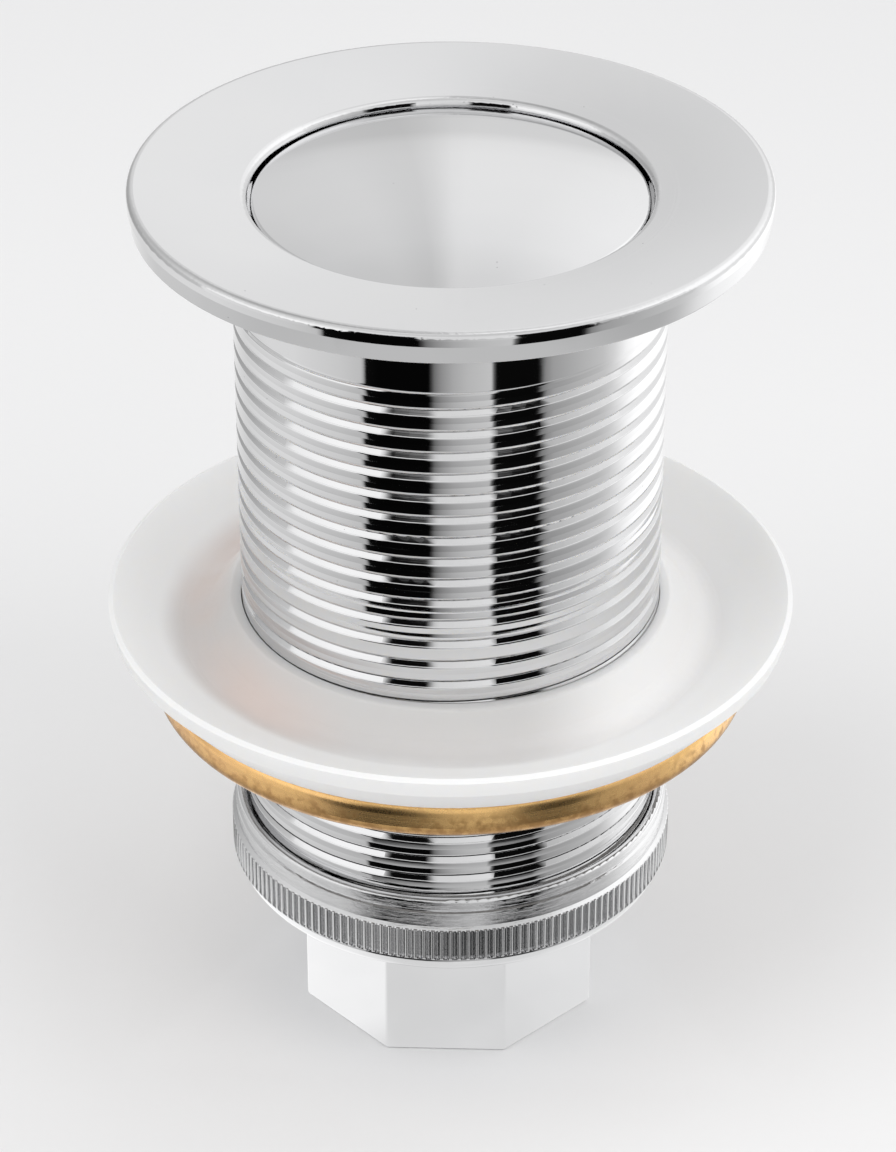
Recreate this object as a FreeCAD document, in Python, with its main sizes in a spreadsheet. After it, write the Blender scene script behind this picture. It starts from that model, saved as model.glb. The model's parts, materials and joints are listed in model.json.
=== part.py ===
import FreeCAD, Part
import os
import re
import Sketcher

# Pop up basin waste, millimetres, +Z up, standing on its outlet.
# The origin is at the middle of the outlet's bottom face and the Z axis is the axis of the waste.
# The front, where one flat of the outlet faces, is -Y.

V = FreeCAD.Vector
doc = FreeCAD.newDocument("pop_up_basin_waste")
sheet = doc.addObject("Spreadsheet::Sheet", "sizes")

# driving dimensions: a name, a plain number and what it measures
SIZES = [
    # G 1 1/4 pipe thread of the shank, polished so that its crests are broad and its grooves narrow
    ("crest_radius", 20.955, "radius over the thread crests, and of the plain neck"),
    ("thread_pitch", 2.309, "G 1 1/4 pitch, 11 threads to the inch"),
    ("groove_depth", 0.42, "depth of the thread groove"),
    ("groove_half_width", 0.33, "half the groove's width at the crest"),
    ("thread_clearance", 0.13, "gap between the flanks of shank and nut threads"),
    ("thread_relief", 0.145, "gap over the crests, out to the root of a nut's thread"),
    ("thread_lead_in", 0.55, "plain length at each end of a nut's thread"),
    ("ridge_root", 0.2, "how far a nut's thread is rooted in its wall"),
    ("cut_margin", 0.3, "how far a cut starts outside the face that it enters"),
    ("corner_bevel_inset", 0.1, "how far inside the flats the bevel of a hexagon's corners starts"),
    ("corner_bevel_angle", 30.0, "degrees of that bevel"),
    # body: flange, recess and tube in one piece
    ("flange_radius", 30.65, "radius of the flange"),
    ("flange_thickness", 3.15, "thickness of the flange at its rim"),
    ("flange_dish", 1.25, "fall of the flange's face from its rim to the recess"),
    ("flange_edge_round", 0.65, "round of the flange's top edge"),
    ("flange_draft_height", 1.8, "height over which the rim draws in below its upright band"),
    ("flange_draft", 0.25, "how far the rim draws in"),
    ("flange_foot_round", 0.2, "round of the rim's lower edge"),
    ("shank_length", 71.1, "flange underside to the end of the tube"),
    ("neck_length", 8.6, "plain neck below the flange"),
    ("neck_fillet", 0.9, "fillet where the neck meets the flange"),
    ("tube_end_chamfer", 0.6, "chamfer at the end of the tube"),
    ("recess_wall", 1.65, "wall between the recess and the thread crests"),
    ("recess_depth", 4.85, "depth of the recess that takes the plug"),
    ("recess_lip_round", 0.7, "soft round of the recess's lip"),
    ("tube_wall", 2.755, "wall of the tube above the bridge"),
    ("lower_wall", 3.555, "wall of the tube below the bridge"),
    ("seat_chamfer", 0.35, "chamfer where the recess opens into the bore"),
    # plug, its seal and its stem
    ("plug_gap", 0.3, "gap round the plug in its recess"),
    ("plug_edge_drop", 2.05, "how far the plug's edge lies below the flange's face"),
    ("plug_dome_height", 2.3, "height of the plug's dome"),
    ("plug_edge_round", 0.4, "round of the plug's edge"),
    ("plug_lift", 10.0, "how far the plug rises when it opens"),
    ("plug_overtravel", 1.5, "how far the plug goes below closed when it is pressed"),
    ("plug_skirt_gap", 0.2, "gap left under the plug's skirt when it is pressed"),
    ("plug_shoulder_inset", 1.0, "step from the bore to the plug's shoulder"),
    ("plug_boss_radius", 13.4, "radius of the boss that the seal fits round"),
    ("plug_hole_cover", 2.4, "metal left over the plug's threaded hole"),
    ("seal_drop", 0.3, "how far the closed seal lies below the recess's floor"),
    ("seal_thickness", 2.4, "thickness of the rubber seal"),
    ("seal_gap", 0.12, "gap between the relaxed seal and the bore"),
    ("seal_edge_round", 0.7, "round of the seal's outer edges"),
    ("seal_inner_gap", 0.1, "gap between the seal and the plug's boss"),
    ("seal_plate_thickness", 1.2, "thickness of the plate that holds the seal"),
    ("seal_plate_inset", 1.6, "how far the plate stays inside the bore"),
    ("stem_radius", 4.0, "radius of the stem that carries the plug"),
    ("stem_clearance", 0.05, "gap round the stem in the pieces screwed on it"),
    ("stem_guide_clearance", 0.1, "gap round the stem in the cartridge cap"),
    ("stem_top_gap", 0.5, "gap over the stem in the plug's hole"),
    ("stem_nut_flats", 13.0, "across flats of the stem's lock nut"),
    ("stem_nut_thickness", 3.2, "thickness of the stem's lock nut"),
    # cartridge
    ("cap_gap", 1.1, "gap between the cartridge cap and the pressed lock nut"),
    ("cap_rim_thickness", 1.8, "thickness of the cartridge cap's rim"),
    ("cap_spigot_length", 2.2, "length of the cap inside the sleeve"),
    ("stop_gap", 0.3, "gap between the raised cam and the cap"),
    ("cam_height", 3.1, "height of the cam collar with its teeth"),
    ("cam_gap", 0.3, "gap between the tips of the two crowns"),
    ("cam_tooth_depth", 0.7, "depth of the notches in both crowns"),
    ("cam_tooth_count", 8, "notches in each crown"),
    ("cam_play", 0.2, "gap between the cam collar and the sleeve"),
    ("rotor_height", 4.4, "height of the index rotor with its teeth"),
    ("rotor_play", 0.4, "gap between the index rotor and the sleeve"),
    ("pilot_radius", 2.6, "radius of the pilot that the rotor turns on"),
    ("pilot_clearance", 0.15, "gap round the pilot in the rotor"),
    ("pilot_length", 9.0, "length of the pilot below the cam collar"),
    ("thrust_washer_thickness", 0.5, "washer between the spring and the rotor"),
    ("spring_length", 11.2, "length of the spring with the plug closed"),
    ("spring_turns", 5.5, "turns of the spring"),
    ("spring_wire_radius", 0.45, "radius of the spring's wire"),
    ("spring_play", 1.05, "gap between the spring and the sleeve"),
    ("spring_seat_thickness", 0.8, "thickness of the washer under the spring"),
    ("sleeve_bore_radius", 6.4, "radius of the sleeve's bore"),
    ("sleeve_wall", 1.6, "wall of the sleeve"),
    ("keyway_count", 3, "guide slots along the sleeve's bore"),
    ("keyway_width", 2.4, "width of a guide slot"),
    ("keyway_depth", 0.7, "depth of a guide slot"),
    ("key_clearance", 0.2, "gap round each key in its guide slot"),
    ("sleeve_flange_thickness", 2.5, "thickness of the sleeve's hexagon, which is also its floor"),
    ("sleeve_flats", 17.0, "across flats of the sleeve's hexagon"),
    ("stud_radius", 5.0, "radius of the stud under the sleeve"),
    ("stud_clearance", 0.05, "gap round the stud in the bridge and its nut"),
    ("stud_overhang", 1.2, "end of the stud below its nut"),
    ("drain_hole_radius", 1.5, "hole down the stud that lets water out of the sleeve"),
    ("stud_nut_flats", 17.0, "across flats of the stud's nut"),
    ("stud_nut_thickness", 3.6, "thickness of the stud's nut"),
    ("stud_washer_thickness", 1.2, "thickness of the washer under the bridge"),
    ("stud_washer_width", 3.0, "width of that washer, from hole to rim"),
    # bridge that carries the cartridge in the tube
    ("bridge_height", 4.0, "height of the bridge's ring and arms"),
    ("bridge_ring_width", 1.6, "width of the bridge's ring"),
    ("bridge_arm_width", 3.0, "width of an arm of the bridge"),
    ("bridge_arm_count", 4, "arms of the bridge"),
    ("bridge_hub_radius", 8.6, "radius of the bridge's hub"),
    ("bridge_hub_height", 4.5, "height of the bridge's hub"),
    ("bridge_clearance", 0.04, "gap round the bridge in the tube"),
    # basin washer and back nut
    ("clamp_drop", 48.65, "flange underside to the face where the nut meets the washer"),
    ("washer_clearance", 0.08, "gap round the shank in the basin washer"),
    ("washer_hub_height", 6.0, "height of the washer at its bore"),
    ("washer_hub_width", 1.1, "width of the washer's hub at its top"),
    ("washer_valley_radius", 25.4, "radius of the valley in the washer's top"),
    ("washer_skin", 2.0, "thickness of the washer at its valley"),
    ("washer_seat_radius", 26.5, "radius of the flat face that meets the nut"),
    ("washer_radius", 34.3, "radius of the washer"),
    ("washer_rim_top", 6.2, "height of the washer's rim above its seat"),
    ("washer_rim_draft", 0.3, "how far the rim's outer edges are drawn in and down"),
    ("washer_rim_crown", 0.5, "how far the top of the rim lies inside its widest point"),
    ("washer_rim_bottom", 4.25, "height of the rim's lower edge above the seat"),
    ("washer_wall_radius", 30.9, "radius at the foot of the washer's outer wall"),
    ("washer_wall_foot", 0.75, "height of the outer wall's foot above the seat"),
    ("washer_valley_round", 2.6, "round of the washer's valley"),
    ("washer_edge_round", 0.5, "round of the washer's edges"),
    ("nut_radius", 30.19, "radius of the back nut's flange"),
    ("nut_seat_height", 5.6, "height of the back nut under the washer"),
    ("nut_hub_height", 1.9, "height of the back nut's hexagon"),
    ("nut_hub_flats", 45.5, "across flats of the back nut's hexagon"),
    ("nut_hub_bevel_angle", 12.0, "degrees of the bevel on its corners, which stays clear of the flange"),
    ("nut_rim_rise", 0.34, "rise of the dished rim above the seat, flatter than the washer over it"),
    ("nut_rim_width", 1.35, "width of the flat on top of the rim"),
    ("nut_rim_round_top", 1.3, "round of the rim's top edge"),
    ("nut_rim_round_bottom", 1.5, "round of the rim's lower edge"),
    # knurled union collar
    ("collar_lip", 1.6, "thickness of the lip that holds the outlet"),
    ("collar_height", 9.1, "height of the collar"),
    ("collar_mouth_chamfer", 0.35, "chamfer of the collar's mouth"),
    ("collar_wall", 1.245, "wall from the thread crests to the collar's smooth band"),
    ("collar_bead_height", 1.1, "height of the bead at the collar's mouth"),
    ("collar_bead_inset", 0.15, "how far the bead stays inside the smooth band"),
    ("collar_line_depth", 0.3, "depth of the turned line under the bead"),
    ("collar_line_width", 0.35, "width of that line"),
    ("knurl_bottom", 2.2, "height of the knurl's lower edge above the collar's bottom"),
    ("knurl_height", 3.5, "height of the knurl"),
    ("knurl_rise", 0.4, "how far the knurl stands out of the smooth band"),
    ("knurl_shoulder", 0.35, "height of the bevel over the knurl"),
    ("knurl_depth", 0.3, "depth of a flute"),
    ("knurl_half_width", 0.28, "half the width of a flute at the knurl's crest"),
    ("knurl_count", 162, "flutes round the collar"),
    ("collar_foot_round", 1.7, "round of the collar's lower edge"),
    ("collar_hole_clearance", 0.5, "gap round the outlet's corners in the collar"),
    # outlet
    ("outlet_height", 15.65, "height of the outlet below the collar"),
    ("outlet_flats", 29.6, "across flats of the outlet"),
    ("outlet_sides", 8, "sides of the outlet"),
    ("outlet_turn", -2.0, "degrees by which the front flat is turned"),
    ("outlet_edge_round", 0.5, "round of the outlet's corners"),
    ("outlet_foot_round", 0.6, "round of the outlet's lower edges"),
    ("outlet_thread_radius", 12.06, "radius of the G 3/4 tapped hole over its crests"),
    ("outlet_thread_length", 14.0, "length of the tapped hole"),
    ("outlet_thread_chamfer", 1.1, "chamfer at the mouth of the tapped hole"),
    ("outlet_bore_radius", 11.2, "radius of the water way above the tapped hole"),
    ("tail_flange_thickness", 2.0, "thickness of the flange that the collar holds"),
    ("tail_flange_clearance", 0.3, "gap round that flange inside the collar's thread"),
    ("spigot_length", 5.0, "length of the spigot inside the tube"),
    ("spigot_clearance", 0.3, "gap round the spigot in the tube"),
    ("ring_section_radius", 0.9, "section radius of the rubber ring on the spigot"),
    ("ring_clearance", 0.1, "gap between the relaxed ring and the tube"),
    ("ring_groove_play", 0.1, "gap between the ring and its groove"),
    ("ring_height", 2.6, "height of the ring above the spigot's flange"),
]

# heights above the base and radii that follow from the driving dimensions
DERIVED = {
    "collar_bottom": "outlet_height",
    "tail_flange_bottom": "collar_bottom + collar_lip",
    "tube_end": "tail_flange_bottom + tail_flange_thickness",
    "flange_underside": "tube_end + shank_length",
    "flange_top": "flange_underside + flange_thickness",
    "recess_floor": "flange_top - recess_depth",
    "recess_radius": "crest_radius - recess_wall",
    "bore_radius": "crest_radius - tube_wall",
    "lower_bore_radius": "crest_radius - lower_wall",
    "groove_bottom_radius": "crest_radius - groove_depth",
    "groove_slope": "groove_half_width / groove_depth",
    "groove_start": "tube_end - thread_pitch / 2",
    "nut_root_radius": "crest_radius + thread_relief",
    "ridge_shift": "thread_clearance * sqrt(1 + groove_slope * groove_slope) / groove_slope",
    "ridge_tip_radius": "groove_bottom_radius + ridge_shift",
    "plug_radius": "recess_radius - plug_gap",
    "plug_edge": "flange_top - plug_edge_drop",
    "plug_crown": "plug_edge + plug_dome_height",
    "plug_skirt_bottom": "recess_floor + plug_overtravel + plug_skirt_gap",
    "seal_top": "recess_floor - seal_drop",
    "seal_bottom": "seal_top - seal_thickness",
    "seal_plate_bottom": "seal_bottom - seal_plate_thickness",
    "stem_hole_radius": "stem_radius + stem_clearance",
    "stem_nut_bottom": "seal_plate_bottom - stem_nut_thickness",
    "stem_top": "plug_crown - plug_hole_cover - stem_top_gap",
    "cap_top": "stem_nut_bottom - plug_overtravel - cap_gap",
    "sleeve_top": "cap_top - cap_rim_thickness",
    "cap_bottom": "sleeve_top - cap_spigot_length",
    "cam_top": "cap_bottom - plug_lift - stop_gap",
    "cam_bottom": "cam_top - cam_height",
    "rotor_top": "cam_bottom - cam_gap",
    "rotor_bottom": "rotor_top - rotor_height",
    "spring_top": "rotor_bottom - thrust_washer_thickness",
    "spring_bottom": "spring_top - spring_length",
    "sleeve_floor": "spring_bottom - spring_seat_thickness",
    "bridge_top": "sleeve_floor - sleeve_flange_thickness",
    "bridge_bottom": "bridge_top - bridge_hub_height",
    "stud_nut_top": "bridge_bottom - stud_washer_thickness",
    "stud_nut_bottom": "stud_nut_top - stud_nut_thickness",
    "stud_end": "stud_nut_bottom - stud_overhang",
    "stud_hole_radius": "stud_radius + stud_clearance",
    "sleeve_radius": "sleeve_bore_radius + sleeve_wall",
    "pilot_hole_radius": "pilot_radius + pilot_clearance",
    "key_rise": "1.5 * cam_tooth_depth",
    "spring_radius": "sleeve_bore_radius - spring_play - spring_wire_radius",
    "washer_bottom": "flange_underside - clamp_drop",
    "nut_bottom": "washer_bottom - nut_seat_height",
    "washer_bore_radius": "crest_radius + washer_clearance",
    "band_radius": "crest_radius + collar_wall",
    "bead_radius": "band_radius - collar_bead_inset",
    "knurl_radius": "band_radius + knurl_rise",
    "outlet_corner_radius": "outlet_flats / 2 / cos(180 / outlet_sides)",
    "collar_hole_radius": "outlet_corner_radius + collar_hole_clearance",
    "tail_flange_radius": "ridge_tip_radius - tail_flange_clearance",
    "spigot_radius": "lower_bore_radius - spigot_clearance",
    "ring_radius": "lower_bore_radius - ring_clearance - ring_section_radius",
    "ring_groove_radius": "ring_radius - ring_section_radius - ring_groove_play",
}

for row, (alias, number, note) in enumerate(SIZES, start=1):
    sheet.set(f"A{row}", note)
    sheet.set(f"B{row}", repr(number))
    sheet.setAlias(f"B{row}", alias)
doc.recompute()
ALIASES = {alias for alias, number, note in SIZES}


# a rule in plain names becomes an expression on the sheet's cells
def bound(rule):
    def replace(match):
        word = match.group(0)
        if word in DERIVED:
            return "(" + bound(DERIVED[word]) + ")"
        if word in ALIASES:
            return "sizes." + word
        return word
    return re.sub(r"[a-z_]+[a-z]", replace, rule)


def value(rule):
    return float(sheet.evalExpression(bound(rule)))


def new_body(label):
    body = doc.addObject("PartDesign::Body", label)
    body.Label = label
    return body


# a piece is drawn from its own lower face and stands at its height in the waste
def stand(body, height):
    body.setExpression(".Placement.Base.z", bound(height))
    doc.recompute()
    return body


def plane(body, role):
    return next(item for item in body.Origin.OriginFeatures if item.Role == role)


def new_sketch(body, name, role, height=None, turn=None):
    sketch = body.newObject("Sketcher::SketchObject", name)
    sketch.AttachmentSupport = (plane(body, role), [""])
    sketch.MapMode = "FlatFace"
    if height is not None:
        sketch.setExpression(".AttachmentOffset.Base.z", bound(height))
    if turn is not None:
        sketch.setExpression(".AttachmentOffset.Rotation.Angle", bound(turn))
    return sketch


# ties one coordinate of a sketch point to its rule, or to the axis where the rule is zero
def tie(sketch, kind, geometry, end, rule):
    if rule == "0":
        axis = -2 if kind == "DistanceX" else -1
        sketch.addConstraint(Sketcher.Constraint("PointOnObject", geometry, end, axis))
        return
    number = sketch.addConstraint(Sketcher.Constraint(kind, -1, 1, geometry, end, value(rule)))
    sketch.setExpression(f"Constraints[{number}]", bound(rule))


# a closed outline of (across, up) rules; "dome" as third entry makes the edge that arrives
# at that point an arc centred on the vertical axis
def draw_outline(sketch, outline):
    points = [V(value(corner[0]), value(corner[1]), 0) for corner in outline]
    count = len(outline)
    for n in range(count):
        start, stop = points[n], points[(n + 1) % count]
        if len(outline[(n + 1) % count]) == 3:
            middle = (start.x ** 2 + start.y ** 2 - stop.x ** 2 - stop.y ** 2) / (2 * (start.y - stop.y))
            centre = V(0, middle, 0)
            circle = Part.Circle(centre, V(0, 0, 1), centre.distanceToPoint(start))
            arc = Part.ArcOfCircle(circle, circle.parameter(start), circle.parameter(stop))
            sketch.addGeometry(arc, False)
            sketch.addConstraint(Sketcher.Constraint("PointOnObject", n, 3, -2))
        else:
            sketch.addGeometry(Part.LineSegment(start, stop), False)
    for n in range(count):
        sketch.addConstraint(Sketcher.Constraint("Coincident", (n - 1) % count, 2, n, 1))
        tie(sketch, "DistanceX", n, 1, outline[n][0])
        tie(sketch, "DistanceY", n, 1, outline[n][1])
    return sketch


# a turned shape: its outline of (radius, height) is spun once round the Z axis
def turn_shape(body, name, outline):
    sketch = draw_outline(new_sketch(body, name + "_outline", "XZ_Plane"), outline)
    turned = body.newObject("PartDesign::Revolution", name)
    turned.Profile = sketch
    turned.ReferenceAxis = (sketch, ["V_Axis"])
    turned.Angle = 360
    doc.recompute()
    return turned


def turn_groove(body, name, outline):
    before = body.Shape.Volume
    sketch = draw_outline(new_sketch(body, name + "_outline", "XZ_Plane"), outline)
    groove = body.newObject("PartDesign::Groove", name)
    groove.Profile = sketch
    groove.ReferenceAxis = (sketch, ["V_Axis"])
    groove.Angle = 360
    doc.recompute()
    assert body.Shape.Volume < before, name + " cuts nothing"
    return groove


# a regular polygon about the axis, one corner on the sketch's own X axis
def draw_polygon(sketch, sides, flats):
    count = round(value(sides))
    corner_rule = f"({flats}) / 2 / cos(180 / {count})"
    radius = value(corner_rule)
    points = []
    for n in range(count):
        turned = FreeCAD.Rotation(V(0, 0, 1), 360 * n / count).multVec(V(radius, 0, 0))
        points.append(turned)
    for n in range(count):
        sketch.addGeometry(Part.LineSegment(points[n], points[(n + 1) % count]), False)
    ring = sketch.addGeometry(Part.Circle(V(0, 0, 0), V(0, 0, 1), radius), True)
    sketch.addConstraint(Sketcher.Constraint("Coincident", ring, 3, -1, 1))
    number = sketch.addConstraint(Sketcher.Constraint("Radius", ring, radius))
    sketch.setExpression(f"Constraints[{number}]", bound(corner_rule))
    for n in range(count):
        sketch.addConstraint(Sketcher.Constraint("Coincident", n, 2, (n + 1) % count, 1))
        sketch.addConstraint(Sketcher.Constraint("PointOnObject", n, 1, ring))
    for n in range(1, count):
        sketch.addConstraint(Sketcher.Constraint("Equal", 0, n))
    sketch.addConstraint(Sketcher.Constraint("PointOnObject", 0, 1, -1))
    return sketch


def draw_circle(sketch, across, up, radius):
    circle = Part.Circle(V(value(across), value(up), 0), V(0, 0, 1), value(radius))
    ring = sketch.addGeometry(circle, False)
    tie(sketch, "DistanceX", ring, 3, across)
    tie(sketch, "DistanceY", ring, 3, up)
    number = sketch.addConstraint(Sketcher.Constraint("Radius", ring, value(radius)))
    sketch.setExpression(f"Constraints[{number}]", bound(radius))
    return sketch


def pad(body, name, sketch, length):
    feature = body.newObject("PartDesign::Pad", name)
    feature.Profile = sketch
    feature.setExpression("Length", bound(length))
    doc.recompute()
    return feature


# a pocket that runs along the sketch's normal for the given length
def pocket(body, name, sketch, length):
    before = body.Shape.Volume
    feature = body.newObject("PartDesign::Pocket", name)
    feature.Profile = sketch
    feature.Reversed = True
    feature.setExpression("Length", bound(length))
    doc.recompute()
    assert body.Shape.Volume < before, name + " cuts nothing"
    return feature


# repeats a feature round the Z axis
def repeat_round(body, name, feature, sketch, axis, count):
    pattern = body.newObject("PartDesign::PolarPattern", name)
    pattern.Originals = [feature]
    pattern.Axis = (sketch, [axis])
    pattern.Angle = 360
    pattern.setExpression("Occurrences", bound(count))
    body.Tip = pattern
    doc.recompute()
    return pattern


# names of the round edges about the axis at each (radius, height)
def ring_edges(body, rings):
    names = []
    for radius, height in rings:
        r, z = value(radius), value(height)
        for n, edge in enumerate(body.Tip.Shape.Edges, start=1):
            if edge.Degenerated or not isinstance(edge.Curve, Part.Circle):
                continue
            off = edge.Curve.Center.distanceToPoint(V(0, 0, z))
            if off < 1e-4 and abs(edge.Curve.Radius - r) < 1e-4:
                names.append(f"Edge{n}")
    assert len(names) >= len(rings), "an edge is missing"
    return names


def soften(body, name, size, edges, kind="Fillet"):
    base = body.Tip
    feature = body.newObject("PartDesign::" + kind, name)
    feature.Base = (base, edges)
    feature.setExpression("Radius" if kind == "Fillet" else "Size", bound(size))
    doc.recompute()
    return feature


# a helical cut or ridge of the sketched section, right-handed, rising along +Z
def helix(body, name, kind, sketch, pitch, rise):
    before = body.Shape.Volume if body.Tip else 0
    feature = body.newObject(f"PartDesign::{kind}Helix", name)
    feature.Profile = sketch
    feature.ReferenceAxis = (sketch, ["V_Axis"])
    feature.Mode = 0
    feature.LeftHanded = False
    feature.Reversed = False
    feature.setExpression("Pitch", bound(pitch))
    feature.setExpression("Height", bound(rise))
    doc.recompute()
    assert body.Shape.Volume != before, name + " changes nothing"
    return feature


# a flat ring of rectangular section
def flat_ring(label, inner, outer, thickness, height, edge_round=None):
    body = new_body(label)
    outline = [(inner, "0"), (outer, "0"), (outer, thickness), (inner, thickness)]
    turn_shape(body, "ring", outline)
    if edge_round:
        soften(body, "edge_round", edge_round, ring_edges(body, [(outer, "0"), (outer, thickness)]))
    return stand(body, height)


# bevels the corners of a hexagon at its top face, or at its bottom face at height 0
def bevel_corners(body, name, flats, height, angle="corner_bevel_angle"):
    corner = f"{flats} / 2 / cos(30) + cut_margin"
    flat = f"{flats} / 2 - corner_bevel_inset"
    drop = f"({corner} - {flat}) * tan({angle})"
    end = drop if height == "0" else f"{height} - {drop}"
    turn_groove(body, name, [(flat, height), (corner, end), (corner, height)])


def hexagon_nut(label, flats, hole, thickness, height):
    body = new_body(label)
    hexagon = draw_polygon(new_sketch(body, "hexagon_outline", "XY_Plane"), "6", flats)
    pad(body, "hexagon", hexagon, thickness)
    hole_sketch = draw_circle(new_sketch(body, "hole_outline", "XY_Plane"), "0", "0", hole)
    pocket(body, "hole", hole_sketch, thickness)
    bevel_corners(body, "top_bevel", flats, thickness)
    return stand(body, height)


# the thread inside a nut: a ridge that follows the shank's groove with clearance all round
# the body stands at foot, and its thread lies between the heights lowest and highest
def nut_thread(body, foot, lowest, highest):
    turns = f"ceil(({lowest} + thread_lead_in - groove_start) / thread_pitch)"
    start = f"groove_start + {turns} * thread_pitch"
    middle = f"({start}) - ({foot})"
    root = "nut_root_radius + ridge_root"
    half = f"({root} - ridge_tip_radius) * groove_slope"
    ridge = draw_outline(new_sketch(body, "thread_outline", "XZ_Plane"), [
        ("ridge_tip_radius", middle),
        (root, f"{middle} + {half}"),
        (root, f"{middle} - {half}"),
    ])
    helix(body, "thread", "Additive", ridge, "thread_pitch", f"{highest} - thread_lead_in - ({start})")


# flange, recess and threaded tube in one turned piece
def make_waste_body():
    body = new_body("waste_body")
    underside = "shank_length"
    top = "shank_length + flange_thickness"
    floor = "recess_floor - tube_end"
    seat = "bridge_bottom - tube_end"
    turn_shape(body, "turned", [
        ("lower_bore_radius", "0"),
        ("crest_radius", "0"),
        ("crest_radius", underside),
        ("flange_radius - flange_draft", underside),
        ("flange_radius", f"{underside} + flange_draft_height"),
        ("flange_radius", top),
        ("recess_radius", f"{top} - flange_dish"),
        ("recess_radius", floor),
        ("bore_radius", floor),
        ("bore_radius", seat),
        ("lower_bore_radius", seat),
    ])
    soften(body, "rim_round", "flange_edge_round", ring_edges(body, [("flange_radius", top)]))
    soften(body, "lip_round", "recess_lip_round",
           ring_edges(body, [("recess_radius", f"{top} - flange_dish")]))
    soften(body, "foot_round", "flange_foot_round",
           ring_edges(body, [("flange_radius - flange_draft", underside)]))
    soften(body, "neck_round", "neck_fillet", ring_edges(body, [("crest_radius", underside)]))
    soften(body, "seat_edge", "seat_chamfer", ring_edges(body, [("bore_radius", floor)]), "Chamfer")
    soften(body, "end_edge", "tube_end_chamfer", ring_edges(body, [("crest_radius", "0")]), "Chamfer")
    start = "groove_start - tube_end"
    mouth = "crest_radius + cut_margin"
    half = f"({mouth} - groove_bottom_radius) * groove_slope"
    groove = draw_outline(new_sketch(body, "thread_outline", "XZ_Plane"), [
        ("groove_bottom_radius", start),
        (mouth, f"{start} + {half}"),
        (mouth, f"{start} - {half}"),
    ])
    helix(body, "thread", "Subtractive", groove, "thread_pitch", f"shank_length - neck_length - ({start})")
    return stand(body, "tube_end")


# domed plug with a shoulder over the seal and a tapped boss for the stem
def make_plug_cap():
    body = new_body("plug_cap")
    shoulder = "bore_radius - plug_shoulder_inset"
    turn_shape(body, "turned", [
        ("stem_hole_radius", "0"),
        ("plug_boss_radius", "0"),
        ("plug_boss_radius", "seal_thickness"),
        (shoulder, "seal_thickness"),
        (shoulder, "plug_skirt_bottom - seal_bottom"),
        ("plug_radius", "plug_skirt_bottom - seal_bottom"),
        ("plug_radius", "plug_edge - seal_bottom"),
        ("0", "plug_crown - seal_bottom", "dome"),
        ("0", "plug_crown - plug_hole_cover - seal_bottom"),
        ("stem_hole_radius", "plug_crown - plug_hole_cover - seal_bottom"),
    ])
    soften(body, "edge_round", "plug_edge_round",
           ring_edges(body, [("plug_radius", "plug_edge - seal_bottom")]))
    return stand(body, "seal_bottom")


def make_plug_seal():
    inner = "plug_boss_radius + seal_inner_gap"
    return flat_ring("plug_seal", inner, "bore_radius - seal_gap", "seal_thickness", "seal_bottom",
                     "seal_edge_round")


def make_seal_plate():
    outer = "bore_radius - seal_plate_inset"
    return flat_ring("seal_plate", "stem_hole_radius", outer, "seal_plate_thickness", "seal_plate_bottom")


# V notches across a crown, cut outwards from the given distance; way is 1 for a top face
def notch_crown(body, name, face, way, inner, outer):
    into, out = ("-", "+") if way > 0 else ("+", "-")
    half = "(cam_tooth_depth + cut_margin)"
    sketch = draw_outline(new_sketch(body, name + "_outline", "YZ_Plane", inner), [
        (f"-1 * {half}", f"{face} {out} cut_margin"),
        ("0", f"{face} {into} cam_tooth_depth"),
        (half, f"{face} {out} cut_margin"),
    ])
    notch = pocket(body, name, sketch, f"{outer} - ({inner})")
    axis_sketch = new_sketch(body, name + "_axis", "XY_Plane")
    axis_sketch.addGeometry(Part.Point(V(0, 0, 0)), True)
    axis_sketch.addConstraint(Sketcher.Constraint("Coincident", 0, 1, -1, 1))
    repeat_round(body, name + "es", notch, axis_sketch, "N_Axis", "cam_tooth_count")


# stem with the cam collar, its keys and the pilot that the rotor turns on
def make_plunger():
    body = new_body("plunger")
    collar = "sleeve_bore_radius - cam_play"
    turn_shape(body, "turned", [
        ("0", "0"),
        ("pilot_radius", "0"),
        ("pilot_radius", "pilot_length"),
        (collar, "pilot_length"),
        (collar, "pilot_length + cam_height"),
        ("stem_radius", "pilot_length + cam_height"),
        ("stem_radius", "stem_top - cam_bottom + pilot_length"),
        ("0", "stem_top - cam_bottom + pilot_length"),
    ])
    sketch = new_sketch(body, "key_outline", "XY_Plane", "pilot_length + key_rise")
    half = "(keyway_width / 2 - key_clearance)"
    tip = "sleeve_bore_radius + keyway_depth - key_clearance"
    inside = f"{collar} - keyway_depth"
    draw_outline(sketch, [
        (inside, f"-1 * {half}"),
        (tip, f"-1 * {half}"),
        (tip, half),
        (inside, half),
    ])
    key = pad(body, "key", sketch, "cam_height - key_rise")
    repeat_round(body, "keys", key, sketch, "N_Axis", "keyway_count")
    notch_crown(body, "notch", "pilot_length", -1, "pilot_radius", f"{collar} + cut_margin")
    return stand(body, "cam_bottom - pilot_length")


def make_index_rotor():
    body = new_body("index_rotor")
    outer = "sleeve_bore_radius - rotor_play"
    turn_shape(body, "turned", [
        ("pilot_hole_radius", "0"),
        (outer, "0"),
        (outer, "rotor_height"),
        ("pilot_hole_radius", "rotor_height"),
    ])
    notch_crown(body, "notch", "rotor_height", 1, "pilot_radius / 2", f"{outer} + cut_margin")
    return stand(body, "rotor_bottom")


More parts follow.
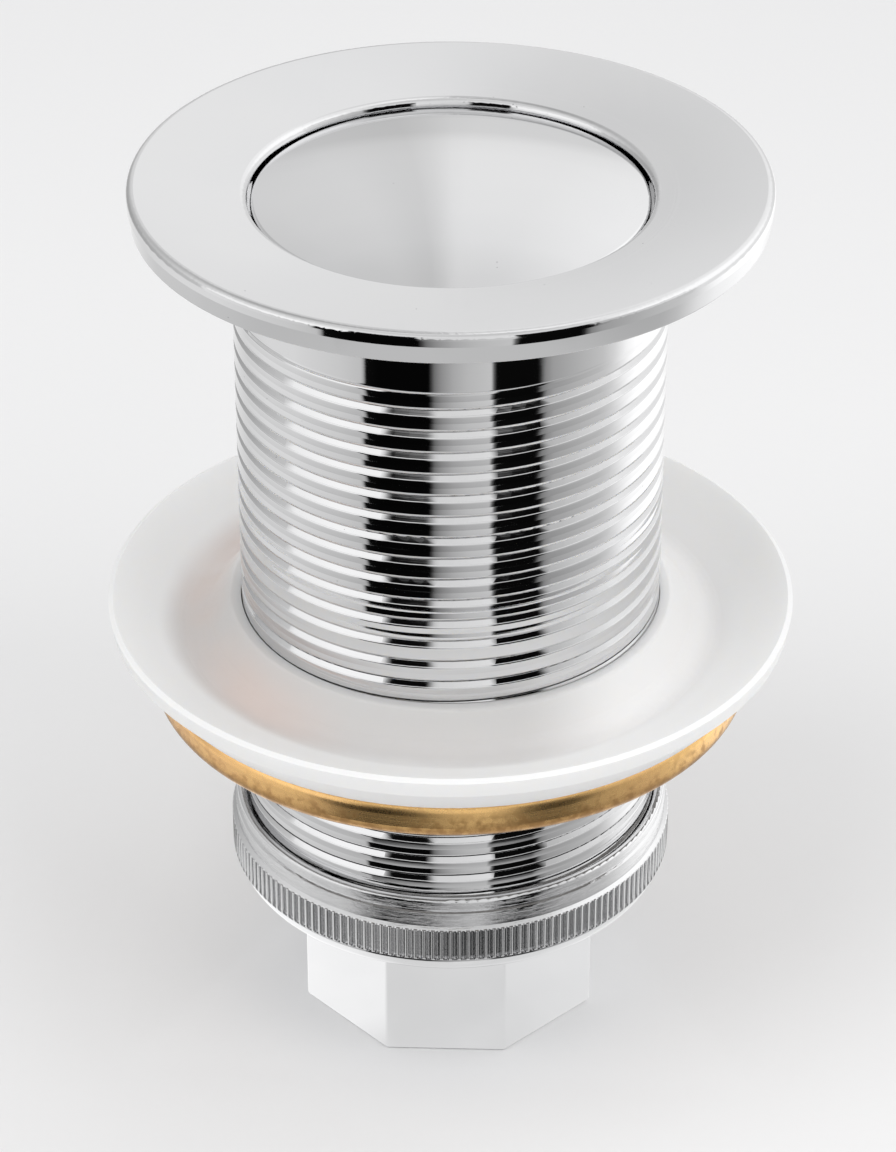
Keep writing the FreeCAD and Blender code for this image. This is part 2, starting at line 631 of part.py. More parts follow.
def make_cartridge_spring():
    body = new_body("cartridge_spring")
    wire = draw_circle(new_sketch(body, "wire_outline", "XZ_Plane"),
                       "spring_radius", "spring_wire_radius", "spring_wire_radius")
    rise = "spring_length - 2 * spring_wire_radius"
    helix(body, "coils", "Additive", wire, f"({rise}) / spring_turns", rise)
    return stand(body, "spring_bottom")


# sleeve with its hexagon, stud, guide slots and drain hole
def make_cartridge_sleeve():
    body = new_body("cartridge_sleeve")
    hexagon = draw_polygon(new_sketch(body, "hexagon_outline", "XY_Plane", "bridge_top - stud_end"),
                           "6", "sleeve_flats")
    pad(body, "hexagon", hexagon, "sleeve_flange_thickness")
    bevel_corners(body, "hexagon_bevel", "sleeve_flats", "sleeve_floor - stud_end")
    turn_shape(body, "stud", [
        ("0", "0"),
        ("stud_radius", "0"),
        ("stud_radius", "bridge_top - stud_end"),
        ("0", "bridge_top - stud_end"),
    ])
    barrel = draw_circle(new_sketch(body, "barrel_outline", "XY_Plane", "sleeve_floor - stud_end"),
                         "0", "0", "sleeve_radius")
    pad(body, "barrel", barrel, "sleeve_top - sleeve_floor")
    bore = draw_circle(new_sketch(body, "bore_outline", "XY_Plane", "sleeve_floor - stud_end"),
                       "0", "0", "sleeve_bore_radius")
    pocket(body, "bore", bore, "sleeve_top - sleeve_floor")
    drain = draw_circle(new_sketch(body, "drain_outline", "XY_Plane"), "0", "0", "drain_hole_radius")
    pocket(body, "drain", drain, "sleeve_floor - stud_end")
    slot_floor = "rotor_bottom - plug_overtravel - stud_end"
    slot = new_sketch(body, "slot_outline", "XY_Plane", slot_floor)
    draw_outline(slot, [
        ("sleeve_bore_radius - keyway_depth", "-1 * keyway_width / 2"),
        ("sleeve_bore_radius + keyway_depth", "-1 * keyway_width / 2"),
        ("sleeve_bore_radius + keyway_depth", "keyway_width / 2"),
        ("sleeve_bore_radius - keyway_depth", "keyway_width / 2"),
    ])
    cut = pocket(body, "slot", slot, "sleeve_top - rotor_bottom + plug_overtravel")
    repeat_round(body, "slots", cut, slot, "N_Axis", "keyway_count")
    return stand(body, "stud_end")


def make_cartridge_cap():
    body = new_body("cartridge_cap")
    hole = "stem_radius + stem_guide_clearance"
    spigot = "sleeve_bore_radius - stem_clearance"
    turn_shape(body, "turned", [
        (hole, "0"),
        (spigot, "0"),
        (spigot, "cap_spigot_length"),
        ("sleeve_radius", "cap_spigot_length"),
        ("sleeve_radius", "cap_spigot_length + cap_rim_thickness"),
        (hole, "cap_spigot_length + cap_rim_thickness"),
    ])
    edge = [("sleeve_radius", "cap_spigot_length + cap_rim_thickness")]
    soften(body, "rim_edge", "cap_rim_thickness / 4", ring_edges(body, edge), "Chamfer")
    return stand(body, "cap_bottom")


# ring, arms and hub that carry the cartridge and let the water past
def make_cartridge_bridge():
    body = new_body("cartridge_bridge")
    outer = "bore_radius - bridge_clearance"
    inner = "bore_radius - bridge_clearance - bridge_ring_width"
    turn_shape(body, "ring", [(inner, "0"), (outer, "0"), (outer, "bridge_height"), (inner, "bridge_height")])
    arm_start = "bridge_hub_radius - bridge_arm_width / 2"
    sketch = draw_outline(new_sketch(body, "arm_outline", "XY_Plane"), [
        (arm_start, "-1 * bridge_arm_width / 2"),
        (f"{inner} + bridge_ring_width / 2", "-1 * bridge_arm_width / 2"),
        (f"{inner} + bridge_ring_width / 2", "bridge_arm_width / 2"),
        (arm_start, "bridge_arm_width / 2"),
    ])
    arm = pad(body, "arm", sketch, "bridge_height")
    repeat_round(body, "arms", arm, sketch, "N_Axis", "bridge_arm_count")
    hub = draw_circle(new_sketch(body, "hub_outline", "XY_Plane"), "0", "0", "bridge_hub_radius")
    pad(body, "hub", hub, "bridge_hub_height")
    hole = draw_circle(new_sketch(body, "hole_outline", "XY_Plane"), "0", "0", "stud_hole_radius")
    pocket(body, "hole", hole, "bridge_hub_height")
    return stand(body, "bridge_bottom")


# cup-shaped washer: hub at the shank, a valley, and a cone out to the rim over a steep outer wall
def make_basin_washer():
    body = new_body("basin_washer")
    hub_top = "washer_bore_radius + washer_hub_width"
    turn_shape(body, "turned", [
        ("washer_bore_radius", "0"),
        ("washer_seat_radius", "0"),
        ("washer_wall_radius", "washer_wall_foot"),
        ("washer_radius - washer_rim_draft", "washer_rim_bottom"),
        ("washer_radius", "washer_rim_top - washer_rim_draft"),
        ("washer_radius - washer_rim_crown", "washer_rim_top"),
        ("washer_valley_radius", "washer_skin"),
        (hub_top, "washer_hub_height"),
        ("washer_bore_radius", "washer_hub_height"),
    ])
    soften(body, "valley_round", "washer_valley_round",
           ring_edges(body, [("washer_valley_radius", "washer_skin")]))
    soften(body, "hub_round", "washer_edge_round", ring_edges(body, [(hub_top, "washer_hub_height")]))
    return stand(body, "washer_bottom")


# flanged nut with a dished rim over a low hexagon
def make_back_nut():
    body = new_body("back_nut")
    rim_top = "nut_seat_height + nut_rim_rise"
    turn_shape(body, "flange", [
        ("nut_root_radius", "nut_hub_height"),
        ("nut_radius", "nut_hub_height"),
        ("nut_radius", rim_top),
        ("nut_radius - nut_rim_width", rim_top),
        ("washer_seat_radius", "nut_seat_height"),
        ("nut_root_radius", "nut_seat_height"),
    ])
    soften(body, "rim_top_round", "nut_rim_round_top", ring_edges(body, [("nut_radius", rim_top)]))
    soften(body, "rim_foot_round", "nut_rim_round_bottom",
           ring_edges(body, [("nut_radius", "nut_hub_height")]))
    hexagon = draw_polygon(new_sketch(body, "hexagon_outline", "XY_Plane"), "6", "nut_hub_flats")
    pad(body, "hexagon", hexagon, "nut_hub_height")
    bevel_corners(body, "hexagon_bevel", "nut_hub_flats", "0", "nut_hub_bevel_angle")
    hole = draw_circle(new_sketch(body, "hole_outline", "XY_Plane"), "0", "0", "nut_root_radius")
    pocket(body, "hole", hole, "nut_seat_height")
    nut_thread(body, "nut_bottom", "nut_bottom", "washer_bottom")
    return stand(body, "nut_bottom")


# knurled collar that screws on the shank and holds the outlet up against the tube
def make_union_collar():
    body = new_body("union_collar")
    line = "collar_height - collar_bead_height"
    turn_shape(body, "turned", [
        ("collar_hole_radius", "0"),
        ("band_radius", "0"),
        ("band_radius", "knurl_bottom - knurl_shoulder / 2"),
        ("knurl_radius", "knurl_bottom"),
        ("knurl_radius", "knurl_bottom + knurl_height"),
        ("band_radius", "knurl_bottom + knurl_height + knurl_shoulder"),
        ("band_radius", f"{line} - collar_line_width"),
        ("band_radius - collar_line_depth", f"{line} - collar_line_width / 2"),
        ("bead_radius", line),
        ("bead_radius", "collar_height"),
        ("nut_root_radius", "collar_height"),
        ("nut_root_radius", "collar_lip"),
        ("collar_hole_radius", "collar_lip"),
    ])
    soften(body, "foot_round", "collar_foot_round", ring_edges(body, [("band_radius", "0")]))
    soften(body, "bead_round", "collar_mouth_chamfer", ring_edges(body, [("bead_radius", "collar_height")]))
    soften(body, "mouth_edge", "collar_mouth_chamfer",
           ring_edges(body, [("nut_root_radius", "collar_height")]), "Chamfer")
    half = "(knurl_half_width * (knurl_depth + cut_margin) / knurl_depth)"
    sketch = draw_outline(new_sketch(body, "flute_outline", "XY_Plane", "knurl_bottom"), [
        ("knurl_radius - knurl_depth", "0"),
        ("knurl_radius + cut_margin", f"-1 * {half}"),
        ("knurl_radius + cut_margin", half),
    ])
    flute = pocket(body, "flute", sketch, "knurl_height")
    repeat_round(body, "knurl", flute, sketch, "N_Axis", "knurl_count")
    nut_thread(body, "collar_bottom", "tube_end", "collar_bottom + collar_height")
    return stand(body, "collar_bottom")


# eight-sided outlet, tapped from below, with the flange and spigot that meet the tube
def make_outlet_tail():
    body = new_body("outlet_tail")
    outline = new_sketch(body, "octagon_outline", "XY_Plane", None, "180 / outlet_sides + outlet_turn")
    pad(body, "octagon", draw_polygon(outline, "outlet_sides", "outlet_flats"), "tail_flange_bottom")
    edges = enumerate(body.Tip.Shape.Edges, start=1)
    upright = [f"Edge{n}" for n, edge in edges if edge.BoundBox.ZLength > 1e-3]
    soften(body, "corner_rounds", "outlet_edge_round", upright)
    edges = enumerate(body.Tip.Shape.Edges, start=1)
    foot = [f"Edge{n}" for n, edge in edges if edge.BoundBox.ZMax < 1e-3]
    soften(body, "foot_rounds", "outlet_foot_round", foot)
    groove_bottom = "tube_end + ring_height - ring_section_radius - ring_groove_play"
    groove_top = "tube_end + ring_height + ring_section_radius + ring_groove_play"
    top = "tube_end + spigot_length"
    turn_shape(body, "spigot", [
        ("outlet_bore_radius", "tail_flange_bottom"),
        ("tail_flange_radius", "tail_flange_bottom"),
        ("tail_flange_radius", "tube_end"),
        ("spigot_radius", "tube_end"),
        ("spigot_radius", groove_bottom),
        ("ring_groove_radius", groove_bottom),
        ("ring_groove_radius", groove_top),
        ("spigot_radius", groove_top),
        ("spigot_radius", top),
        ("outlet_bore_radius", top),
    ])
    soften(body, "spigot_edge", "spigot_clearance", ring_edges(body, [("spigot_radius", top)]), "Chamfer")
    bore = draw_circle(new_sketch(body, "bore_outline", "XY_Plane"), "0", "0", "outlet_bore_radius")
    pocket(body, "water_way", bore, top)
    tapped = draw_circle(new_sketch(body, "tapped_outline", "XY_Plane"), "0", "0", "outlet_thread_radius")
    pocket(body, "tapped_hole", tapped, "outlet_thread_length")
    soften(body, "tapped_mouth", "outlet_thread_chamfer",
           ring_edges(body, [("outlet_thread_radius", "0")]), "Chamfer")
    return stand(body, "0")


def make_outlet_ring():
    body = new_body("outlet_o_ring")
    sketch = draw_circle(new_sketch(body, "section", "XZ_Plane"), "ring_radius", "0", "ring_section_radius")
    ring = body.newObject("PartDesign::Revolution", "ring")
    ring.Profile = sketch
    ring.ReferenceAxis = (sketch, ["V_Axis"])
    ring.Angle = 360
    return stand(body, "tube_end + ring_height")


def make_rings_and_nuts():
    stud_hole = "stud_hole_radius"
    stud_washer_outer = "stud_hole_radius + stud_washer_width"
    rotor_outer = "sleeve_bore_radius - rotor_play"
    return [
        flat_ring("thrust_washer", "pilot_hole_radius", rotor_outer, "thrust_washer_thickness", "spring_top"),
        flat_ring("spring_seat", "pilot_hole_radius", rotor_outer, "spring_seat_thickness", "sleeve_floor"),
        flat_ring("stud_washer", stud_hole, stud_washer_outer, "stud_washer_thickness", "stud_nut_top"),
        hexagon_nut("stem_lock_nut", "stem_nut_flats", "stem_hole_radius", "stem_nut_thickness",
                    "stem_nut_bottom"),
        hexagon_nut("cartridge_lock_nut", "stud_nut_flats", stud_hole, "stud_nut_thickness",
                    "stud_nut_bottom"),
    ]


pieces = [
    make_waste_body(),
    make_plug_cap(),
    make_plug_seal(),
    make_seal_plate(),
    make_plunger(),
    make_index_rotor(),
    make_cartridge_spring(),
    make_cartridge_sleeve(),
    make_cartridge_cap(),
    make_cartridge_bridge(),
    make_basin_washer(),
    make_back_nut(),
    make_union_collar(),
    make_outlet_tail(),
    make_outlet_ring(),
] + make_rings_and_nuts()

doc.recompute()
for item in doc.Objects:
    assert not {"Invalid", "Error"} & set(item.State), f"{item.Name} failed: {item.State}"
for piece in pieces:
    shape = piece.Shape
    assert not shape.isNull() and shape.isValid(), f"{piece.Label} has no valid shape"
    assert len(shape.Solids) == 1, f"{piece.Label} isn't one solid"
    print(piece.Label, "volume", round(shape.Volume, 1), "faces", len(shape.Faces))

os.makedirs("parts", exist_ok=True)
for piece in pieces:
    piece.Shape.exportStep(f"parts/{piece.Label}.step")
print(len(pieces), "pieces written")
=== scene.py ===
import json
import math
import bpy
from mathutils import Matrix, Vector

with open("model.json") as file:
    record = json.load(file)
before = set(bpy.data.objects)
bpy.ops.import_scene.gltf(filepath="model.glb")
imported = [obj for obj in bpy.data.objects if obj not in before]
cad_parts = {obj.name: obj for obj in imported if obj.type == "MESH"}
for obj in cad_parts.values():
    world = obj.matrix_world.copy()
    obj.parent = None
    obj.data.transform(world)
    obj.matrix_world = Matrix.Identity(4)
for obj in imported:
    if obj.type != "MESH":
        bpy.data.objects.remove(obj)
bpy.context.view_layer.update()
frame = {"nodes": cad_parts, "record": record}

# Pop up basin waste: chromed flange, shank, collar and outlet, a milky washer and a satin brass back nut.
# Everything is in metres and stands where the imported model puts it.
nodes = frame["nodes"]


# small tools for the node trees

def setInputs(tree, node, values):
    for socket, value in values.items():
        if isinstance(value, bpy.types.NodeSocket):
            tree.links.new(value, node.inputs[socket])
        else:
            node.inputs[socket].default_value = value


def addNode(tree, kind, values=None, **settings):
    node = tree.nodes.new(kind)
    for name, value in settings.items():
        setattr(node, name, value)
    setInputs(tree, node, values or {})
    return node


def calc(tree, operation, *values):
    return addNode(tree, "ShaderNodeMath", dict(enumerate(values)), operation=operation).outputs[0]


def times(tree, first, second):
    return calc(tree, "MULTIPLY", first, second)


def plus(tree, first, second):
    return calc(tree, "ADD", first, second)


def axes(tree, place):
    return addNode(tree, "ShaderNodeSeparateXYZ", {"Vector": place}).outputs


def noise(tree, place, scale, **more):
    values = {"Vector": place, "Scale": scale}
    values.update({name.capitalize(): value for name, value in more.items()})
    return addNode(tree, "ShaderNodeTexNoise", values).outputs["Fac"]


def spread(tree, value, low, high, newLow=0.0, newHigh=1.0, smooth=True):
    values = {"Value": value, "From Min": low, "From Max": high, "To Min": newLow, "To Max": newHigh}
    kind = "SMOOTHSTEP" if smooth else "LINEAR"
    return addNode(tree, "ShaderNodeMapRange", values, interpolation_type=kind).outputs["Result"]


# stops are (place, strength), from 0 to 1 along the ramp
def ramp(tree, value, stops):
    node = addNode(tree, "ShaderNodeValToRGB", {"Fac": value})
    band = node.color_ramp
    band.interpolation = "LINEAR"
    while len(band.elements) > 1:
        band.elements.remove(band.elements[-1])
    for count, (position, strength) in enumerate(stops):
        stop = band.elements.new(position) if count else band.elements[0]
        stop.position = position
        stop.color = (strength, strength, strength, 1)
    return node.outputs["Color"]


def mixColours(tree, amount, first, second, blend="MIX"):
    node = addNode(tree, "ShaderNodeMix", data_type="RGBA", blend_type=blend)
    first, second = [(*value, 1) if isinstance(value, tuple) else value for value in (first, second)]
    setInputs(tree, node, {0: amount, 6: first, 7: second})
    return node.outputs[2]


def newGroup(name, inputs, outputs):
    tree = bpy.data.node_groups.new(name, "ShaderNodeTree")
    tree.interface.new_socket("Vector", in_out="INPUT", socket_type="NodeSocketVector")
    for title, value in inputs.items():
        tree.interface.new_socket(title, in_out="INPUT", socket_type="NodeSocketFloat").default_value = value
    for title in outputs:
        tree.interface.new_socket(title, in_out="OUTPUT", socket_type="NodeSocketFloat")
    return tree, tree.nodes.new("NodeGroupInput").outputs, tree.nodes.new("NodeGroupOutput").inputs


def useGroup(tree, group, values):
    return addNode(tree, "ShaderNodeGroup", values, node_tree=group).outputs


# display grey, 0 to 255, as light
def light(grey):
    grey = grey / 255
    return grey / 12.92 if grey <= 0.04045 else ((grey + 0.055) / 1.055) ** 2.4


# camera and cords come first; this object has no cord

camera = {
    "lens": 126.5,
    "sensor": 36,
    "distance": 0.4058,
    "elevation": 32.45,
    "aim": (-0.00025, 0.0, 0.04885),
    "clipStart": 0.01,
}


def placeCamera():
    rise = math.radians(camera["elevation"])
    x, y, z = camera["aim"]
    bpy.ops.object.camera_add(
        location=(x, y - camera["distance"] * math.cos(rise), z + camera["distance"] * math.sin(rise)),
        rotation=(math.pi / 2 - rise, 0, 0))
    view = bpy.context.object
    view.name = "photoCamera"
    view.data.lens = camera["lens"]
    view.data.sensor_width = camera["sensor"]
    view.data.clip_start = camera["clipStart"]
    bpy.context.scene.camera = view


placeCamera()
print("camera placed")


# Studio: a soft room round the part. The chrome mirrors two black flags beside the lens, a bright window wall at
# the right and a pale table. A band lists (azimuth, grey), with the azimuth in degrees from the lens to the right.
# Upright faces mirror the lower band, the lips of the thread the middle one, the flange and the plug the top one.
room = {
    "mirror": 0.74,                                                              # grey of the chrome itself
    "forMatte": 0.9,                                                             # the room's light on dull faces
    "below": [(-180, 210), (-138, 200), (-112, 210), (-91, 210), (-60, 196), (-47, 185),            # left wall
              (-45, 10), (-38, 5), (-10.6, 5),                                                      # left flag
              (-8.4, 108), (-5, 138), (1.5, 165), (9, 180), (21.2, 190),                            # gap at the lens
              (22.8, 8), (47.6, 8),                                                                 # right flag
              (50.6, 128), (55, 152), (73, 174), (87, 188), (96, 208),                              # right wall
              (106, 240), (117, 255), (134, 255), (150, 245), (165, 222), (180, 210)],              # window
    "middle": [(-91, 235), (-60, 245), (-36, 240), (-33, 8), (-12.5, 8), (-9.5, 205), (20, 220),
               (22.5, 8), (47, 8), (50, 178), (60, 190), (87, 225), (104, 250)],
    "above": [(-180, 221), (-178.6, 211), (-177, 203), (-172, 210), (-164, 206), (-154, 186), (-140, 178),
              (-120, 190), (-91, 215), (-50, 225), (0, 215), (50, 215), (62, 225), (74, 250), (104, 255), (118, 255),
              (136, 252), (150, 238), (162, 235), (172, 226), (178.5, 226), (180, 222)],
    "rise": [(0.0, 0.75), (0.19, 0.80), (0.26, 0.93), (0.34, 0.98), (0.45, 1.0), (0.60, 1.0), (0.70, 0.97),
             (0.79, 0.87), (0.88, 0.78), (1.0, 0.9)],                            # the top band's strength by height
    "fall": [(0.22, 0.72), (0.36, 0.82), (0.48, 1.0), (0.62, 1.12)],             # the lower band's, over fallSpan
    "fallSpan": (-0.9, -0.1),
    "table": 186,
    "tableEdge": (-0.70, -0.62),                                                 # heights are of the mirrored ray
    "middleFoot": (0.08, 0.16),
    "middleHead": (0.42, 0.56),
    "topBandBehind": (-0.34, -0.16),                                             # where it starts behind the part
    "behind": (-0.05, 0.05),
}


def greysAround(tree, x, y, greys):
    turn = calc(tree, "ARCTAN2", x, times(tree, y, -1.0))
    around = spread(tree, turn, -math.pi, math.pi, smooth=False)
    return ramp(tree, around, [((azimuth + 180) / 360, light(grey) / room["mirror"]) for azimuth, grey in greys])


def buildRoom():
    world = bpy.data.worlds.new("softRoom")
    bpy.context.scene.world = world
    world.use_nodes = True
    tree = world.node_tree
    tree.nodes.clear()
    x, y, z = axes(tree, addNode(tree, "ShaderNodeTexCoord").outputs["Generated"])
    below, middle, above = [greysAround(tree, x, y, room[band]) for band in ("below", "middle", "above")]
    fall = ramp(tree, spread(tree, z, *room["fallSpan"], smooth=False), room["fall"])
    low = mixColours(tree, 1.0, below, fall, "MULTIPLY")
    high = mixColours(tree, 1.0, above, ramp(tree, z, room["rise"]), "MULTIPLY")
    table = light(room["table"]) / room["mirror"]
    low = mixColours(tree, spread(tree, z, *room["tableEdge"]), (table, table, table), low)
    facing = mixColours(tree, spread(tree, z, *room["middleHead"]), middle, high)
    behind = spread(tree, y, *room["behind"])
    upper = mixColours(tree, behind, facing, high)
    foot = calc(tree, "MAXIMUM", spread(tree, z, *room["middleFoot"]),
                times(tree, behind, spread(tree, z, *room["topBandBehind"])))
    whole = mixColours(tree, foot, low, upper)
    mirrored = addNode(tree, "ShaderNodeLightPath").outputs["Is Glossy Ray"]
    strength = spread(tree, mirrored, 0.0, 1.0, room["forMatte"], 1.0, smooth=False)
    glow = addNode(tree, "ShaderNodeBackground", {"Color": whole, "Strength": strength})
    addNode(tree, "ShaderNodeOutputWorld", {"Surface": glow.outputs[0]})


studio = {
    "floorSize": 3.0,
    "floorColour": (0.83, 0.83, 0.835),
    "floorPaler": (0.8383, 0.8383, 0.84335),
    "floorRoughness": 0.85,
    "floorSpecular": 0.2,
    "floorGrain": 900.0,
    "plateRadius": 0.038,
    "plateSides": 96,
    "plateHeight": 0.0001,
    "plate": [(-180, 232), (-120, 242), (-90, 250), (-45, 240), (-20, 214), (20, 214), (50, 221), (90, 224),
              (180, 228)],
    "plateClouds": 60.0,
    "plateShade": (0.95, 1.03),
    "keyPlace": (-0.30, -0.28, 0.74),
    "keySize": 0.5,
    "keyPower": 1.5,
    "fillPlace": (0.33, -0.36, 0.6),
    "fillSize": 0.45,
    "fillPower": 1.35,
}


# an empty Principled material, with its object coordinates
def newLook(name, **values):
    material = bpy.data.materials.new(name)
    material.use_nodes = True
    tree = material.node_tree
    shader = tree.nodes["Principled BSDF"]
    setInputs(tree, shader, {title.replace("_", " "): value for title, value in values.items()})
    return material, tree, shader, addNode(tree, "ShaderNodeTexCoord").outputs["Object"]


def floorLook():
    material, tree, shader, place = newLook("paleFloor", Roughness=studio["floorRoughness"],
                                            Specular_IOR_Level=studio["floorSpecular"])
    grain = noise(tree, place, studio["floorGrain"], detail=3.0)
    setInputs(tree, shader, {"Base Color": mixColours(tree, grain, studio["floorColour"], studio["floorPaler"])})
    return material


# the plate glows only for the faces that mirror it, each side of it in its own grey
def plateLook():
    material, tree, shader, place = newLook("palePlate", Base_Color=(0, 0, 0, 1), Specular_IOR_Level=0.0)
    x, y = axes(tree, place)[:2]
    cloud = noise(tree, place, studio["plateClouds"], detail=3.0)
    setInputs(tree, shader, {"Emission Color": greysAround(tree, x, y, studio["plate"]),
                             "Emission Strength": spread(tree, cloud, 0.3, 0.7, *studio["plateShade"])})
    return material


def layFloor():
    bpy.ops.object.select_all(action="DESELECT")
    bpy.ops.mesh.primitive_plane_add(size=studio["floorSize"], location=(0, 0, 0))
    floor = bpy.context.object
    floor.name = "studioFloor"
    floor.data.materials.append(floorLook())
    floor.visible_glossy = False      # the chrome mirrors the room's table instead, which has no end near by


def layPlate():
    bpy.ops.mesh.primitive_circle_add(radius=studio["plateRadius"], vertices=studio["plateSides"],
                                      fill_type="NGON", location=(0, 0, studio["plateHeight"]))
    plate = bpy.context.object
    plate.name = "standingPlate"      # what the outlet and the collar's foot mirror
    plate.data.materials.append(plateLook())
    plate.visible_camera = False
    plate.visible_diffuse = False
    plate.visible_shadow = False


def hangSoftbox(name):
    bpy.ops.object.light_add(type="AREA", location=studio[name + "Place"])
    softbox = bpy.context.object
    softbox.name = name + "Softbox"
    softbox.data.shape = "DISK"
    softbox.data.size = studio[name + "Size"]
    softbox.data.energy = studio[name + "Power"]
    way = Vector(camera["aim"]) - Vector(studio[name + "Place"])
    softbox.rotation_euler = way.to_track_quat("-Z", "Y").to_euler()
    softbox.visible_glossy = False


buildRoom()
layFloor()
layPlate()
hangSoftbox("key")
hangSoftbox("fill")
bpy.context.scene.view_settings.view_transform = "Standard"
print("room and floor built")


# Shared patterns. They read object coordinates in metres and give masks and heights.

scratchPattern = {
    "angles": ((0.4, 0.2, 0.9), (1.3, 0.5, 2.2), (0.1, 1.1, -0.6)),
    "stretch": 0.035,                 # a scratch's width over its length
    "cut": (0.66, 0.74),
}


def scratchGroup():
    tree, given, out = newGroup("fineScratches", {"Scale": 300.0, "Amount": 0.5}, ["Mask"])
    lines = []
    for angles in scratchPattern["angles"]:
        turned = addNode(tree, "ShaderNodeMapping", {"Vector": given["Vector"], "Rotation": angles,
                                                     "Scale": (1.0, scratchPattern["stretch"], 1.0)})
        hairs = noise(tree, turned.outputs[0], given["Scale"], detail=2.0, roughness=0.6)
        lines.append(spread(tree, hairs, *scratchPattern["cut"]))
    every = calc(tree, "MAXIMUM", lines[0], calc(tree, "MAXIMUM", lines[1], lines[2]))
    tree.links.new(times(tree, every, given["Amount"]), out["Mask"])
    return tree


# fine turning marks that run round the part's axis
def turningGroup():
    tree, given, out = newGroup("turningMarks", {"Spacing": 0.0002, "Wobble": 0.1}, ["Height", "Radius"])
    x, y, z = axes(tree, given["Vector"])
    radius = calc(tree, "SQRT", plus(tree, times(tree, x, x), times(tree, y, y)))
    across = calc(tree, "DIVIDE", radius, given["Spacing"])
    up = calc(tree, "DIVIDE", z, given["Spacing"])
    way = addNode(tree, "ShaderNodeVectorMath", {0: given["Vector"]}, operation="NORMALIZE").outputs[0]
    drift = times(tree, axes(tree, way)[0], given["Wobble"])
    place = addNode(tree, "ShaderNodeCombineXYZ", {"X": across, "Y": up, "Z": drift}).outputs[0]
    tree.links.new(noise(tree, place, 1.0, detail=3.0, roughness=0.65), out["Height"])
    tree.links.new(radius, out["Radius"])
    return tree


def rippleGroup():
    tree, given, out = newGroup("softRipple", {"Scale": 90.0}, ["Height"])
    tree.links.new(noise(tree, given["Vector"], given["Scale"], detail=1.5, roughness=0.4), out["Height"])
    return tree


groovePattern = {
    "lipSlope": -0.45,
    "land": (0.00033, 0.00055),       # from the groove's edge to where the land is whole
    "swayScale": 130.0,
}


# rounds the lips of a helical groove and crowns the land between two turns; heights are metres
def grooveGroup():
    tree, given, out = newGroup("grooveLips", {"Start": 0.0, "Pitch": 0.002309, "Groove": 0.00033, "Lip": 0.0002,
                                               "Crown": 0.00002, "Sway": 0.00001, "Fill": 0.0}, ["Height"])
    x, y, z = axes(tree, given["Vector"])
    turned = calc(tree, "DIVIDE", calc(tree, "ARCTAN2", y, x), 2 * math.pi)
    turns = calc(tree, "DIVIDE", calc(tree, "SUBTRACT", z, given["Start"]), given["Pitch"])
    phase = calc(tree, "SUBTRACT", turns, turned)
    off = calc(tree, "ABSOLUTE", calc(tree, "SUBTRACT", phase, calc(tree, "ROUND", phase)))
    away = times(tree, off, given["Pitch"])
    reach = plus(tree, given["Groove"], given["Lip"])
    near = calc(tree, "MAXIMUM", calc(tree, "SUBTRACT", reach, away), 0.0)
    near = calc(tree, "MINIMUM", near, given["Lip"])
    lip = calc(tree, "DIVIDE", times(tree, near, near), given["Lip"])
    lip = times(tree, lip, groovePattern["lipSlope"])
    crown = times(tree, times(tree, off, off), times(tree, given["Crown"], 4.0))
    land = spread(tree, away, *groovePattern["land"])
    wander = noise(tree, given["Vector"], groovePattern["swayScale"], detail=1.0)
    sway = times(tree, calc(tree, "SUBTRACT", wander, 0.5), given["Sway"])
    height = plus(tree, calc(tree, "SUBTRACT", lip, crown), times(tree, sway, land))
    inside = calc(tree, "SUBTRACT", 1.0, calc(tree, "DIVIDE", away, given["Groove"]))
    inside = calc(tree, "MAXIMUM", inside, 0.0)
    tree.links.new(plus(tree, height, times(tree, inside, given["Fill"])), out["Height"])
    return tree


pitDot = (0.22, 0.12)                 # where a pit's edge starts and ends, in cells


def speckGroup():
    tree, given, out = newGroup("tinyPits", {"Scale": 2600.0, "Share": 0.002}, ["Mask"])
    cells = addNode(tree, "ShaderNodeTexVoronoi", {"Vector": given["Vector"], "Scale": given["Scale"]}).outputs
    chance = addNode(tree, "ShaderNodeSeparateColor", {"Color": cells["Color"]}).outputs[0]
    picked = calc(tree, "LESS_THAN", chance, given["Share"])
    tree.links.new(times(tree, picked, spread(tree, cells["Distance"], *pitDot)), out["Mask"])
    return tree


flutePattern = {
    "curve": 16.0,
    "streakScale": 260.0,
    "streakStretch": 9.0,
    "streakCut": (0.42, 0.62),
}


# flutes round a collar: a rounded crest between two of them, and a soft streaky wear that runs round with them
def knurlGroup():
    tree, given, out = newGroup("knurlCrests", {"Count": 162.0}, ["Crest", "Streak"])
    x, y = axes(tree, given["Vector"])[:2]
    turned = calc(tree, "DIVIDE", calc(tree, "ARCTAN2", y, x), 2 * math.pi)
    steps = plus(tree, times(tree, turned, given["Count"]), 0.5)
    off = calc(tree, "ABSOLUTE", calc(tree, "SUBTRACT", steps, calc(tree, "ROUND", steps)))
    crest = calc(tree, "SUBTRACT", 1.0, times(tree, times(tree, off, off), flutePattern["curve"]))
    tree.links.new(crest, out["Crest"])
    around = addNode(tree, "ShaderNodeMapping", {"Vector": given["Vector"],
                                                 "Scale": (1.0, 1.0, flutePattern["streakStretch"])}).outputs[0]
    streaks = noise(tree, around, flutePattern["streakScale"], detail=5.0, roughness=0.7)
    tree.links.new(spread(tree, streaks, *flutePattern["streakCut"]), out["Streak"])
    return tree


scratches = scratchGroup()
turning = turningGroup()
ripple = rippleGroup()
grooves = grooveGroup()
pits = speckGroup()
crests = knurlGroup()
print("shared patterns made")


